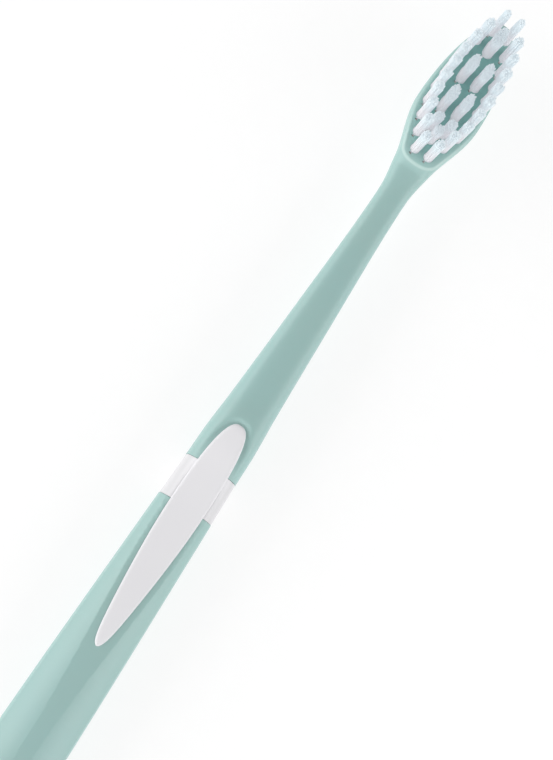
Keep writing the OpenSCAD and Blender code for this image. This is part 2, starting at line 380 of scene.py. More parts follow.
def smooth(obj, angle=35):
    only(obj)
    bpy.ops.object.shade_smooth_by_angle(angle=math.radians(angle))
    return obj


# The handle's skin: rings along the brush, bridged and smoothed.

END_ANGLES = [4, 12, 22, 33, 44, 55, 66, 78, 90]
RING_SEGMENTS = 8
SMOOTHING = 2
# After the head's widest place: where each stretch of rings ends, and how many it has.
STRETCHES = [
    (HEAD_LENGTH - HEEL_RAMP, 4),
    (HEAD_LENGTH + HEEL_RUN, 5),
    (HEAD_LENGTH + HEEL_FOOT, 3),
    (NECK, 3),
    (PAD - 2 * MM, 10),
    (PAD + 8 * MM, 18),
    (PAD_END + 2 * MM, 24),
    (TAIL, 12),
]


def ring_places():
    """Where the skin's rings are, closest together where it turns most."""
    angles = [math.radians(angle) for angle in END_ANGLES]
    places = [HEAD_WIDEST * (1 - math.cos(angle)) for angle in angles]
    start = HEAD_WIDEST
    for end, count in STRETCHES:
        places += steps(start, end, count)
        start = end
    return places + [TAIL + END_ROUND * math.cos(angle) for angle in reversed(angles[:-1])]


def add_ring(from_toe, inset):
    """A cross-section: a rectangle whose corners are rounded until they meet."""
    square = curve(SQUARENESSES, from_toe)
    centre = (at(from_toe), 0, middle_height(from_toe))
    bpy.ops.mesh.primitive_plane_add(size=2, location=centre, rotation=(0, math.pi / 2, 0))
    bpy.ops.transform.resize(
        value=(1, half_width(from_toe) - inset, half_height(from_toe) - inset),
        center_override=centre,
    )
    bpy.ops.mesh.bevel(
        offset_type="PERCENT",
        offset_pct=50,
        segments=RING_SEGMENTS,
        profile=4 ** (-1 / square),
        affect="VERTICES",
    )
    bpy.ops.mesh.delete(type="ONLY_FACE")


def skin(name, places, inset=0):
    """A closed stretch of the handle's outside, drawn in by an inset."""
    bpy.ops.object.select_all(action="DESELECT")
    bpy.ops.mesh.primitive_plane_add(size=2)
    obj = bpy.context.active_object
    obj.name = name
    edit(obj)
    bpy.ops.mesh.delete(type="VERT")
    for place in places:
        add_ring(place, inset)
    bpy.ops.mesh.select_all(action="SELECT")
    bpy.ops.mesh.remove_doubles(threshold=TINY)
    bpy.ops.mesh.bridge_edge_loops()
    for place in (places[0], places[-1]):
        pick(lambda v: abs(v.co.x - at(place)) < TINY)
        bpy.ops.mesh.edge_face_add()
    bpy.ops.mesh.select_all(action="SELECT")
    bpy.ops.mesh.normals_make_consistent(inside=False)
    leave()
    return modifier(obj, "SUBSURF", levels=SMOOTHING, render_levels=SMOOTHING)


def slice_off(obj, place, normal):
    """Cuts an object along a plane, drops what lies on the normal's side and closes the cut."""
    edit(obj)
    bpy.ops.mesh.select_all(action="SELECT")
    bpy.ops.mesh.bisect(
        plane_co=place, plane_no=normal, use_fill=True, clear_outer=True, threshold=TINY
    )
    return leave()


def cut_back(obj):
    """Cuts the back flat where the brush lies on it."""
    return carve(obj, block((-LENGTH, -LENGTH, -LENGTH), (LENGTH, LENGTH, 0)))


# The facets: a flat one along the top of the handle, and one on each side of it.

FACET_STEPS = 80
FACET_STRIPS = 5
# The side facets: where their lower edge is, and how far they lie off the skin at each place.
SIDE_SHARE = 0.95
SIDE_REACH = 1 * MM
SIDE_LIFT = [
    (0, 1 * MM),
    (PAD, 0.3 * MM),
    (BAND, 0.03 * MM),
    (BAND_END, 0),
    (PAD_END + 12 * MM, 0),
    (FACET_END, 3 * MM),
    (LENGTH, 4 * MM),
]


def facet_points(from_toe):
    """Half of the faceted top: the flat's edge, the side's lower edge, and a point further out."""
    edge = half_width(from_toe) * curve(FACET, from_toe)
    low_edge = half_width(from_toe) * SIDE_SHARE
    flat = facet_height(from_toe)
    low = skin_height(from_toe, low_edge) + FACET_LIFT + curve(SIDE_LIFT, from_toe)
    fall = (flat - low) / (low_edge - edge)
    return [(edge, flat), (low_edge, low), (low_edge + SIDE_REACH, low - fall * SIDE_REACH)]


def facet_cutter(start):
    """All that lies over the flat facet and the two side facets, from a place on."""
    bpy.ops.object.select_all(action="DESELECT")
    bpy.ops.mesh.primitive_grid_add(
        x_subdivisions=FACET_STEPS,
        y_subdivisions=FACET_STRIPS,
        size=1,
        location=((at(start) + at(FACET_END)) / 2, 0, 0),
    )
    cutter = bpy.context.active_object
    cutter.scale = (FACET_END - start, FACET_STRIPS, 1)
    settle(cutter)
    for vertex in cutter.data.vertices:
        points = facet_points(toe_distance(vertex.co))
        y, z = points[round(abs(vertex.co.y) - 0.5)]
        vertex.co.y = math.copysign(y, vertex.co.y)
        vertex.co.z = z
    return extrude_to(cutter, 2 * HANDLE_TOP)


# The tufts' places in the head.

TOE_ROW = 2.4 * MM
HEEL_ROW_GAP = 2 * MM
ROWS = 10
TUFT = 1.6 * MM
TOE_TUFT = 1.8 * MM
STRETCH = 1.4 * MM
BRISTLE = 10 * MM
INNER_ROW = 1.32 * MM
TOE_LEAN = math.radians(0.5)

# Rows are shares of the way from the toe row to the heel row, and heights are shares of the
# bristles' height. The outer columns' distance from the middle is a share of half the head.
OUTER_COLUMN = [
    (0, 0.23),
    (0.11, 0.468),
    (0.22, 0.597),
    (0.33, 0.67),
    (0.44, 0.7),
    (0.56, 0.705),
    (0.67, 0.68),
    (0.78, 0.6),
    (0.89, 0.43),
    (1, 0.225),
]
OUTER_HEIGHTS = [(0, 1.12), (0.11, 1.04), (0.33, 1), (1, 0.96)]
# Row, distance from the middle as a share of the inner rows', height, and whether it is long.
INNER_TUFTS = [(0.374, 1, 0.8, True), (0.625, 1, 0.78, True), (0.808, 0.9, 0.74, False)]
# Row and height of the two tufts in the middle.
TOE_MIDDLE = (0.116, 0.78)
HEEL_MIDDLE = (0.888, 0.74)


def row_place(share):
    return TOE_ROW + (HEAD_LENGTH - HEEL_ROW_GAP - TOE_ROW) * share


def tuft_plan():
    """Every tuft: node, place from the toe, y, radius, stretch, height and lean."""
    plan = []
    for side, name in ((1, "left"), (-1, "right")):
        for i in range(ROWS):
            node = f"tuft_{name}_{i + 1}"
            share = i / (ROWS - 1)
            y = side * HEAD_WIDTH / 2 * curve(OUTER_COLUMN, share)
            height = BRISTLE * curve(OUTER_HEIGHTS, share)
            lean = TOE_LEAN if i == 0 else 0
            plan.append((node, row_place(share), y, TUFT / 2, 0, height, lean))
        for i, (share, out, high, long) in enumerate(INNER_TUFTS):
            node = f"tuft_inner_{name}_{i + 1}"
            y = side * INNER_ROW * out
            stretch = STRETCH if long else 0
            plan.append((node, row_place(share), y, TUFT / 2, stretch, BRISTLE * high, 0))
    share, high = TOE_MIDDLE
    plan.append(("tuft_toe_middle", row_place(share), 0, TOE_TUFT / 2, STRETCH, BRISTLE * high, 0))
    share, high = HEEL_MIDDLE
    plan.append(("tuft_heel_middle", row_place(share), 0, TUFT / 2, 0, BRISTLE * high, 0))
    return plan


PLAN = tuft_plan()

# The head: the flat face with its rounded rim, and the sockets for the tufts.

SOCKET_DEPTH = 2.9 * MM
SOCKET_GAP = 0.05 * MM
# The anchors' slits, wide enough to show at the tufts' feet: how wide, how far their ends reach
# past the socket's wall, how far they are turned from straight across, and how high they sit.
SLIT = 0.42 * MM
SLIT_BITE = 0.4 * MM
SLIT_TURN = math.radians(74)
SLIT_LIFT = 0.5 * MM
# The steps of the face's rim: how far each goes in and up.
RIM_INSETS = [(0.12 * MM, 0.14 * MM), (0.24 * MM, 0.2 * MM), (0.22 * MM, 0.08 * MM)]
SHORT_EDGE = 0.07 * MM
FACE_STRIPS = 24


def socket_cutter(from_toe, y, radius, stretch):
    """An upright pin, long or round, with the plate of the anchor's slit through it."""
    r = radius + SOCKET_GAP
    top = FACE_HEIGHT + PAST
    bottom = FACE_HEIGHT - SOCKET_DEPTH
    middle = (top + bottom) / 2
    socket = pin(r, top - bottom, (at(from_toe), y, middle), stretch)
    shift = stretch / 2
    along = shift * math.sin(SLIT_TURN)
    reach = along + math.sqrt(along**2 - shift**2 + r**2) + SLIT_BITE
    bpy.ops.mesh.primitive_cube_add(
        size=1, location=(at(from_toe), y, middle + SLIT_LIFT), rotation=(0, 0, SLIT_TURN)
    )
    plate = bpy.context.active_object
    plate.scale = (SLIT, 2 * reach, top - bottom)
    settle(plate)
    return carve(socket, plate, "UNION")


def on_head(face, height):
    """Whether a face is part of a level cut through the head."""
    return looks_up(face) and lies_at(face, height) and face.calc_center_median().x > at(NECK)


def cut_face(obj):
    """Cuts the head flat and rounds the rim of its face."""
    low = FACE_HEIGHT - sum(up for _, up in RIM_INSETS)
    carve(obj, block((at(NECK), -HEAD_WIDTH, low), (LENGTH, HEAD_WIDTH, 2 * HANDLE_TOP)))
    edit(obj)
    pick(lambda f: on_head(f, low), "faces")
    bpy.ops.mesh.dissolve_faces()
    bpy.ops.mesh.remove_doubles(threshold=SHORT_EDGE)
    for across, up in RIM_INSETS:
        bpy.ops.mesh.inset(thickness=across, depth=up, use_even_offset=False)
    for i in range(1, FACE_STRIPS):
        pick(lambda f: on_head(f, FACE_HEIGHT), "faces")
        place = (at(HEAD_LENGTH * i / FACE_STRIPS), 0, 0)
        bpy.ops.mesh.bisect(plane_co=place, plane_no=(1, 0, 0), threshold=TINY)
    pick(lambda f: on_head(f, FACE_HEIGHT), "faces")
    bpy.ops.mesh.quads_convert_to_tris()
    leave()


# The thumb pad: a leaf with a raised rim, let into the top of the handle.

PAD_WIDEST_SHARE = 0.4
PAD_TAPER = 0.69
PAD_TAPER_POWER = 1.62
PAD_FRONT_SQUARENESS = 2.7
PAD_TIP_SQUARENESS = 20
PAD_WIDEST = PAD + PAD_WIDEST_SHARE * PAD_LENGTH
PAD_FLOOR = 6.7 * MM
PAD_GAP = 0.02 * MM
PAD_LIFT = 0.04 * MM
PAD_EASE = 0.12 * MM
# The steps of the pad's rim: how far each goes in and up.
PAD_RIM = [(0.05 * MM, 0.09 * MM), (0.18 * MM, 0.11 * MM), (0.2 * MM, 0.05 * MM)]
PAD_MIDDLE = sum(up for _, up in PAD_RIM)
PAD_STRIPS = 24
PAD_BANDS = 30
LEAF_POINTS = 40
# How much closer the leaf's points lie towards its tip.
LEAF_CROWDING = 2.5


def leaf_outline():
    """Half of the leaf's outline, from its round front to its tip."""
    half = PAD_WIDTH / 2
    points = []
    for i in range(LEAF_POINTS):
        share = 1 - math.cos(math.pi / 2 * i / LEAF_POINTS)
        place = PAD + (PAD_WIDEST - PAD) * share
        points.append((place, half * rounded(share, PAD_FRONT_SQUARENESS)))
    for i in range(LEAF_POINTS + 1):
        share = 1 - (1 - i / LEAF_POINTS) ** LEAF_CROWDING
        place = PAD_WIDEST + (PAD_END - PAD_WIDEST) * share
        taper = 1 - PAD_TAPER * share**PAD_TAPER_POWER
        end = math.sqrt(1 - share**PAD_TIP_SQUARENESS)
        points.append((place, half * taper * end))
    return points


LEAF = leaf_outline()


def leaf_face(name):
    """The leaf's outline as one flat face over the handle."""
    half = LEAF[1:-1]
    loop = [LEAF[0]] + half + [LEAF[-1]] + [(place, -y) for place, y in reversed(half)]
    bpy.ops.object.select_all(action="DESELECT")
    bpy.ops.mesh.primitive_circle_add(vertices=len(loop), radius=1, fill_type="NGON")
    obj = bpy.context.active_object
    obj.name = name
    for vertex, (place, y) in zip(obj.data.vertices, loop):
        vertex.co = (at(place), y, 0)
    return obj


def leaf_edge(from_toe):
    """Half of the leaf's width at a place."""
    for (start, low), (end, high) in zip(LEAF, LEAF[1:]):
        if start <= from_toe <= end:
            return low + (high - low) * (from_toe - start) / (end - start)
    return 0


def eased_height(from_toe, y):
    """Height of the handle's top with no crease at the facet's edge."""
    round_top = skin_height(from_toe, y)
    flat_top = facet_height(from_toe)
    return (round_top + flat_top - math.hypot(round_top - flat_top, PAD_EASE)) / 2


def pad_height(from_toe, y):
    """Height of the handle's top under the pad, evened out from edge to edge."""
    edge = leaf_edge(from_toe)
    crown = eased_height(from_toe, 0)
    share = min(abs(y) / max(edge, TINY), 1)
    return crown + (eased_height(from_toe, edge) - crown) * share**2


def drape(obj, lift):
    """Lays a flat piece on the handle's uncut top."""
    for vertex in obj.data.vertices:
        vertex.co.z += pad_height(toe_distance(vertex.co), vertex.co.y) + lift


def slice_pad(place, normal):
    """Divides the faces inside the pad's rim along a plane, and picks them again."""
    bpy.ops.mesh.bisect(plane_co=place, plane_no=normal, threshold=TINY)
    pick(lambda f: lies_at(f, PAD_MIDDLE), "faces")


def make_pad():
    pad = leaf_face("grip_pad")
    edit(pad)
    bpy.ops.mesh.select_all(action="SELECT")
    for across, up in PAD_RIM:
        bpy.ops.mesh.inset(thickness=across, depth=up, use_even_offset=False)
    for i in range(1, PAD_STRIPS):
        slice_pad((0, PAD_WIDTH * (i / PAD_STRIPS - 0.5), 0), (0, 1, 0))
    for i in range(1, PAD_BANDS):
        slice_pad((at(PAD + PAD_LENGTH * i / PAD_BANDS), 0, 0), (1, 0, 0))
    pick(lambda f: len(f.verts) > 4, "faces")
    bpy.ops.mesh.quads_convert_to_tris()
    leave()
    drape(pad, PAD_LIFT)
    return extrude_to(pad, PAD_FLOOR)


def pad_cutter():
    """The pad's pocket: the leaf, a little larger, and a hair off the handle's own middle line."""
    cutter = leaf_face("pad_cutter")
    middle = at((PAD + PAD_END) / 2)
    longer = 1 + 2 * PAD_GAP / PAD_LENGTH
    wider = 1 + 2 * PAD_GAP / PAD_WIDTH
    for vertex in cutter.data.vertices:
        vertex.co.x = middle + (vertex.co.x - middle) * longer
        vertex.co.y = vertex.co.y * wider + 2 * TINY
        vertex.co.z = HANDLE_TOP + 2 * PAST
    return extrude_to(cutter, PAD_FLOOR)


# The band round the waist, and the groove that it lies in.

BAND_SINK = 0.05 * MM
BAND_DEPTH = 0.9 * MM
BAND_GAP = 0.05 * MM
BAND_RINGS = 12


def band_block(name, inset, lap=0):
    """The waist between the band's two edges, drawn in by an inset, and a lap longer each way."""
    before = BAND - 2 * PAST
    after = BAND_END + 2 * PAST
    obj = skin(name, [before] + steps(before, after, BAND_RINGS), inset)
    slice_off(obj, (at(BAND) + lap, 0, 0), (1, 0, 0))
    return slice_off(obj, (at(BAND_END) - lap, 0, 0), (-1, 0, 0))


def make_band():
    band = band_block("grip_band", BAND_SINK)
    cut_back(band)
    carve(band, facet_cutter(PAD))
    return carve(band, band_block("band_core", BAND_DEPTH, PAST))


def make_grip():
    return smooth(carve(make_band(), make_pad(), "UNION"))


def groove_cutter():
    """All that lies round the core between the band's edges."""
    low = (at(BAND_END) - BAND_GAP, -HANDLE_WIDTH, -HANDLE_WIDTH)
    high = (at(BAND) + BAND_GAP, HANDLE_WIDTH, 2 * HANDLE_WIDTH)
    return carve(block(low, high), band_block("groove_core", BAND_DEPTH, PAST))


# The bead that rises round the leaf's front, the dish inside it, and the ditches along the leaf.

BEAD = 0.15 * MM
BEAD_WIDTH = 1.1 * MM
BEAD_FADE = 4 * MM
FRONT_FADE = 5 * MM
DISH = 0.28 * MM
DITCH = 0.2 * MM
DITCH_WIDTH = 0.9 * MM
DITCH_START = 5 * MM
DITCH_FADE = 7 * MM
# How far from the leaf's ends the skin is shaped, and the least share that counts.
SHAPED = 5 * MM
LEAST_SHARE = 0.001


def from_leaf(from_toe, y):
    """Distance outside the leaf's outline."""
    return min(math.hypot(from_toe - a, abs(y) - b) for a, b in LEAF)


def displace(obj, name, amount, share):
    """Moves the top along its normals by an amount, times a share that goes by the place."""
    group = obj.vertex_groups.new(name=name)
    for vertex in obj.data.vertices:
        from_toe = toe_distance(vertex.co)
        if PAD - SHAPED < from_toe < PAD_END + SHAPED and vertex.co.z > WAIST_TOP / 2:
            weight = share(from_toe, vertex.co.y)
            if weight > LEAST_SHARE:
                group.add([vertex.index], weight, "REPLACE")
    return modifier(
        obj, "DISPLACE", strength=amount, mid_level=0, vertex_group=name, direction="NORMAL"
    )


def rise(distance):
    """Runs smoothly from 0 at the leaf to 1 on top of the bead."""
    return eased(clamped(distance / BEAD_WIDTH))


def front_share(from_toe):
    """Lets the bead and the dish run out before the band."""
    return clamped((BAND - from_toe) / FRONT_FADE)


def bead_share(from_toe, y):
    distance = from_leaf(from_toe, y)
    beyond = clamped((distance - BEAD_WIDTH) / BEAD_FADE)
    return front_share(from_toe) * rise(distance) * math.cos(math.pi / 2 * beyond) ** 2


def dish_share(from_toe, y):
    return front_share(from_toe) * (1 - rise(from_leaf(from_toe, y)))


def ditch_share(from_toe, y):
    across = min(from_leaf(from_toe, y) / DITCH_WIDTH, 1)
    fade = clamped((from_toe - PAD - DITCH_START) / DITCH_FADE)
    return fade * max(0, math.cos(math.pi / 2 * across))


def make_handle():
    obj = skin("handle_plastic", ring_places())
    displace(obj, "bead", BEAD, bead_share)
    displace(obj, "dish", -DISH, dish_share)
    displace(obj, "ditch", -DITCH, ditch_share)
    carve(obj, facet_cutter(BAND_END))
    cut_back(obj)
    cut_face(obj)
    carve(obj, pad_cutter())
    carve(obj, groove_cutter())
    cutters = [socket_cutter(*tuft[1:5]) for tuft in PLAN]
    carve(obj, joined(cutters, "sockets"))
    edit(obj)
    bpy.ops.mesh.select_all(action="SELECT")
    bpy.ops.mesh.quads_convert_to_tris()
    bpy.ops.mesh.dissolve_degenerate(threshold=TINY / 5)
    bpy.ops.mesh.remove_doubles(threshold=TINY / 5)
    return smooth(leave())


# The tufts: one filament, a round, a long and a pointed bundle, copied for every tuft.

FILAMENT = 0.23 * MM
FILAMENT_SIDES = 6
FILAMENT_STEPS = 4
ROUND_FILAMENTS = 42
LONG_FILAMENTS = 80
# The rounding of a filament's tip, as a share of its height.
TIP = 0.01
# Turn from one filament, or one tuft, to the next, so that no two lie alike.
GOLDEN_TURN = math.radians(137.5)
# How wide a bundle is at its top, how that grows, and how much shorter its outer filaments are.
SPLAY = 1.14
SPLAY_POWER = 1.5
DOME = 0.04
# The same for the two toe tufts, which are pointed.
TOE_SPLAY = 0.88
TOE_POINT = 0.13
# How uneven the tips are in height, how far they stray aside, and how deep the bundles stand.
RAGGED = 0.035
STRAY = 0.08 * MM
FOOT = 1 * MM
# How much of that depth the plug fills, and its height as a share of a whole bundle's.
PLUG_FILL = 0.92
PLUG_TOP = PLUG_FILL * FOOT / (BRISTLE + FOOT)


def make_filament():
    """One bristle of unit height with a rounded tip."""
    bpy.ops.object.select_all(action="DESELECT")
    bpy.ops.mesh.primitive_cylinder_add(
        vertices=FILAMENT_SIDES, radius=FILAMENT / 2, depth=1, location=(0, 0, 0.5)
    )
    obj = settle(bpy.context.active_object)
    edit(obj)
    for i in range(1, FILAMENT_STEPS):
        bpy.ops.mesh.select_all(action="SELECT")
        bpy.ops.mesh.bisect(plane_co=(0, 0, i / FILAMENT_STEPS), plane_no=(0, 0, 1))
    pick(looks_up, "faces")
    bpy.ops.mesh.inset(thickness=FILAMENT / 6, depth=TIP)
    leave()
    return obj


def make_plug(stretch):
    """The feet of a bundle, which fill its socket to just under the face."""
    return pin(TUFT / 2, PLUG_TOP, (0, 0, PLUG_TOP / 2), stretch)


def make_bundle(name, count, stretch, filament, seed, point=DOME, splay=SPLAY):
    """Filaments side by side, closer at the foot, with ragged tips, the middle ones longest."""
    chance = random.Random(seed)
    parts = []
    reach = TUFT / 2 - FILAMENT / 2
    for i in range(count):
        share = math.sqrt((i + 0.5) / count)
        angle = GOLDEN_TURN * i
        x = reach * share * math.cos(angle) * (1 + stretch / (2 * reach))
        y = reach * share * math.sin(angle)
        high = 1 - point * share**2 + chance.uniform(-RAGGED, RAGGED / 2)
        aside = chance.uniform(-STRAY, STRAY)
        along = chance.uniform(-STRAY, STRAY)
        part = copy_of(filament, f"{name}_{i}")
        for vertex in part.data.vertices:
            up = vertex.co.z
            out = 1 + (splay - 1) * up**SPLAY_POWER
            vertex.co.x += x * out + along * up**2
            vertex.co.y += y * out + aside * up**2
            vertex.co.z = up * high
        parts.append(part)
    parts.append(make_plug(stretch))
    return smooth(joined(parts, name), angle=60)


def make_tufts():
    """Each tuft with the name of its node."""
    filament = make_filament()
    kinds = {
        0: make_bundle("round_tuft", ROUND_FILAMENTS, 0, filament, 3),
        STRETCH: make_bundle("long_tuft", LONG_FILAMENTS, STRETCH, filament, 5),
    }
    pointed = make_bundle("toe_tuft", ROUND_FILAMENTS, 0, filament, 7, TOE_POINT, TOE_SPLAY)
    tufts = []
    for i, (node, place, y, radius, stretch, height, lean) in enumerate(PLAN, 1):
        tuft = copy_of(pointed if lean else kinds[stretch], f"{node}_copy")
        wide = 2 * radius / TUFT
        spin = GOLDEN_TURN * i if stretch == 0 else math.pi * (i % 2)
        shear = Matrix.Identity(4)
        shear[0][2] = math.tan(lean)
        tuft.data.transform(
            Matrix.Translation((at(place), y, FACE_HEIGHT - FOOT))
            @ shear
            @ Matrix.Rotation(spin, 4, "Z")
            @ Matrix.Diagonal((wide, wide, height + FOOT, 1))
        )
        tufts.append((node, tuft))
    for spare in [filament, pointed, *kinds.values()]:
        bpy.data.objects.remove(spare)
    return tufts


# Materials.

SAGE = (0.335, 0.5, 0.47)
SAGE_CLOUD = (0.315, 0.5, 0.485)
# Painted highlight for the rounded rim of the head's face.
SAGE_PAINTED_HIGHLIGHT = (0.44, 0.6, 0.57)
# Painted shade for the head's face between the tufts.
SAGE_PAINTED_SHADE = (0.2, 0.42, 0.39)
GRIP_WHITE = (0.84, 0.83, 0.85)
GRIP_CLOUD = (0.81, 0.805, 0.83)
# Painted shade for the band's flanks.
GRIP_FLANK_SHADE = (0.68, 0.675, 0.69)
NYLON_FOOT = (0.75, 0.69, 0.7)
NYLON_TIP = (0.67, 0.76, 0.78)
NYLON_THROUGH = (0.88, 0.89, 0.9, 1)
# Painted light: the colour of the nylon's glow, which is no lamp.
NYLON_PAINTED_GLOW = (0.9, 0.95, 1, 1)
NICKEL = (0.5, 0.47, 0.4)
NICKEL_BRIGHT = (0.6, 0.57, 0.49)
PAPER = (0.27, 0.27, 0.27)
PAPER_LIGHT = (0.29, 0.29, 0.29)
WHITE = (1, 1, 1, 1)

# Depths under the head's face between which the painted shade of the face and the painted
# highlight of its rim fade in.
FACE_SHADE_FADE = (0.2 * MM, 0.1 * MM)
RIM_HIGHLIGHT_FOOT_FADE = (0.5 * MM, 0.3 * MM)
RIM_HIGHLIGHT_TOP_FADE = (0.02 * MM, 0.1 * MM)
# Heights over the face between which the nylon turns from its foot's colour to its tip's.
NYLON_FADE = (3 * MM, 8 * MM)


class Shade:
    """A value in a node tree, which sums and products combine through Math nodes."""

    def __init__(self, tree, socket):
        self.tree = tree
        self.socket = socket

    def node(self, kind, output=0, settings=None, **inputs):
        """Adds any node, with its settings and the values or links of its inputs."""
        node = self.tree.nodes.new(kind)
        for name, value in (settings or {}).items():
            setattr(node, name, value)
        for name, value in inputs.items():
            plug = node.inputs[int(name[1:]) if name[0] == "i" and name[1:].isdigit() else name]
            if isinstance(value, Shade):
                self.tree.links.new(value.socket, plug)
            else:
                plug.default_value = value
        return Shade(self.tree, node.outputs[output])

    def math(self, operation, a, b):
        return self.node("ShaderNodeMath", settings={"operation": operation}, i0=a, i1=b)

    def __add__(self, other):
        return self.math("ADD", self, other)

    __radd__ = __add__

    def __mul__(self, other):
        return self.math("MULTIPLY", self, other)

    __rmul__ = __mul__

    def __sub__(self, other):
        return self.math("SUBTRACT", self, other)

    def __rsub__(self, other):
        return self.math("SUBTRACT", other, self)


def new_material(name, **values):
    """A Principled material with plain values, and its shader node."""
    material = bpy.data.materials.new(name)
    material.use_nodes = True
    shader = material.node_tree.nodes["Principled BSDF"]
    for label, value in values.items():
        shader.inputs[label.replace("_", " ")].default_value = value
    return material, shader


def place_in(material, stretch=(1, 1, 1)):
    """Object coordinates, stretched along the axes."""
    tree = material.node_tree
    coordinates = tree.nodes.new("ShaderNodeTexCoord")
    place = Shade(tree, coordinates.outputs["Object"])
    return place.node("ShaderNodeMapping", Vector=place, Scale=stretch)


def axis(place, i):
    return place.node("ShaderNodeSeparateXYZ", output=i, Vector=place)


def grain(place, size, detail=2.0):
    """Soft noise whose spots are about a size across."""
    return place.node("ShaderNodeTexNoise", Vector=place, Scale=1 / size, Detail=detail)


def ramp(value, start, end):
    """Runs from 0 to 1 while a value goes from start to end."""
    return value.node("ShaderNodeMapRange", Value=value, i1=start, i2=end, i3=0.0, i4=1.0)


def between(low, high, share):
    """The colour a share of the way from one colour to another."""
    ends = [colour if isinstance(colour, Shade) else (*colour, 1) for colour in (low, high)]
    return share.node(
        "ShaderNodeMix",
        output=2,
        settings={"data_type": "RGBA"},
        i0=share,
        i6=ends[0],
        i7=ends[1],
    )


def feed(shader, label, value):
    value.tree.links.new(value.socket, shader.inputs[label])


def roughen(shader, height, depth):
    """Raises the surface by a pattern."""
    feed(shader, "Normal", height.node("ShaderNodeBump", Height=height, Distance=depth))


def under_face(place, fade):
    """Runs from 0 to 1 between two depths under the head's face."""
    return ramp(axis(place, 2), FACE_HEIGHT - fade[0], FACE_HEIGHT - fade[1])


def face_shade_mask(place):
    """Where the head's face is, inside its rim, which gets painted shade between the tufts."""
    across = (axis(place, 0) - at(HEAD_LENGTH / 2)) * (2 / HEAD_LENGTH)
    aside = axis(place, 1) * (2 / HEAD_WIDTH)
    inside = ramp(across * across + aside * aside, 1, 0.5)
    return inside * under_face(place, FACE_SHADE_FADE)


def rim_highlight_mask(place):
    """Where the rim of the head's face is rounded, behind the toe and before the neck, which gets
    a painted highlight.
    """
    round_edge = under_face(place, RIM_HIGHLIGHT_FOOT_FADE) * under_face(place, RIM_HIGHLIGHT_TOP_FADE)
    behind = ramp(axis(place, 0), at(HEAD_WIDEST), at(HEAD_LENGTH - HEEL_RAMP))
    before = ramp(axis(place, 0), at(NECK), at(HEAD_LENGTH + HEEL_RUN))
    return round_edge * behind * before


def handle_plastic():
    """Sage polypropylene: faint flow clouds, the fine peel of a satin mould, a painted highlight
    on the head's rim and painted shade on its face.
    """
    material, shader = new_material(
        "handle plastic",
        Coat_Weight=0.1,
        Coat_Roughness=0.3,
        Subsurface_Weight=0.1,
        Subsurface_Scale=1 * MM,
        Subsurface_Radius=(0.4, 0.8, 0.7),
    )
    place = place_in(material)
    clouds = grain(place, 14 * MM)
    specks = grain(place, 0.8 * MM)
    peel = grain(place, 0.35 * MM)
    sage = between(SAGE, SAGE_CLOUD, clouds)
    # Painted highlight on the rounded rim of the head's face.
    rim_highlighted = between(sage, SAGE_PAINTED_HIGHLIGHT, rim_highlight_mask(place))
    # Painted shade on the head's face between the tufts.
    feed(shader, "Base Color", between(rim_highlighted, SAGE_PAINTED_SHADE, face_shade_mask(place)))
    feed(shader, "Roughness", specks * 0.14 + 0.36)
    roughen(shader, peel, 0.003 * MM)
    return material


def grip_rubber():
    """White elastomer: matt, with a fine even grain, and painted shade that makes the band's
    flanks greyer.
    """
    material, shader = new_material("grip rubber", Specular_IOR_Level=0.3)
    place = place_in(material)
    clouds = grain(place, 9 * MM)
    fine = grain(place, 0.25 * MM, 4.0)
    white = between(GRIP_WHITE, GRIP_CLOUD, clouds)
    across = axis(place, 1)
    # Painted shade on the band's flanks, past the pad's edge, which turns them greyer.
    flank_shade = ramp(across * across, PAD_WIDTH**2 / 4, WAIST_WIDTH**2 / 6)
    feed(shader, "Base Color", between(white, GRIP_FLANK_SHADE, flank_shade))
    feed(shader, "Roughness", fine * 0.2 + 0.5)
    roughen(shader, fine, 0.004 * MM)
    return material


def bristle_nylon():
    """Clear white nylon, a little warmer at the foot, each filament a shade of its own, with a
    faint painted glow.
    """
    # The emission is painted light: a faint bluish glow that brightens the filaments.
    material, shader = new_material(
        "bristle nylon", Emission_Color=NYLON_PAINTED_GLOW, Emission_Strength=0.28
    )
    tree = material.node_tree
    strands = grain(place_in(material, (1, 1, 0.05)), 0.3 * MM)
    place = place_in(material)
    up = ramp(axis(place, 2), FACE_HEIGHT + NYLON_FADE[0], FACE_HEIGHT + NYLON_FADE[1])
    share = up * 0.7 + strands * 0.3
    feed(shader, "Base Color", between(NYLON_FOOT, NYLON_TIP, share))
    feed(shader, "Roughness", strands * 0.3 + 0.25)
    through = place.node("ShaderNodeBsdfTranslucent", Color=NYLON_THROUGH)
    mix = place.node("ShaderNodeMixShader", i0=0.5, i2=through)
    tree.links.new(shader.outputs[0], mix.socket.node.inputs[1])
    tree.links.new(mix.socket, tree.nodes["Material Output"].inputs["Surface"])
    return material


def anchor_metal():
    """Nickel silver wire, rolled flat, with fine lines along it."""
    material, shader = new_material("anchor metal", Metallic=1.0)
    lines = grain(place_in(material, (1, 0.1, 1)), 0.05 * MM)
    feed(shader, "Base Color", between(NICKEL, NICKEL_BRIGHT, lines))
    feed(shader, "Roughness", lines * 0.2 + 0.28)
    roughen(shader, lines, 0.001 * MM)
    return material


def dress(obj, material):
    """Gives the whole object one material."""
    obj.data.materials.clear()
    obj.data.materials.append(material)
    for face in obj.data.polygons:
        face.material_index = 0


def stand_for(obj, node, slot, material):
    """Puts a finished piece in the place of its node."""
    obj.name = f"{node}_{slot}"
    dress(obj, material)
    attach(obj, "root")
    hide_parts(node)


stand_for(make_handle(), "handle", "handle_plastic", handle_plastic())
stand_for(make_grip(), "grip", "grip_rubber", grip_rubber())
nylon = bristle_nylon()
for node, tuft in make_tufts():
    stand_for(tuft, node, "bristle_nylon", nylon)
metal = anchor_metal()
for slot in bpy.data.objects["anchors"].material_slots:
    slot.material = metal


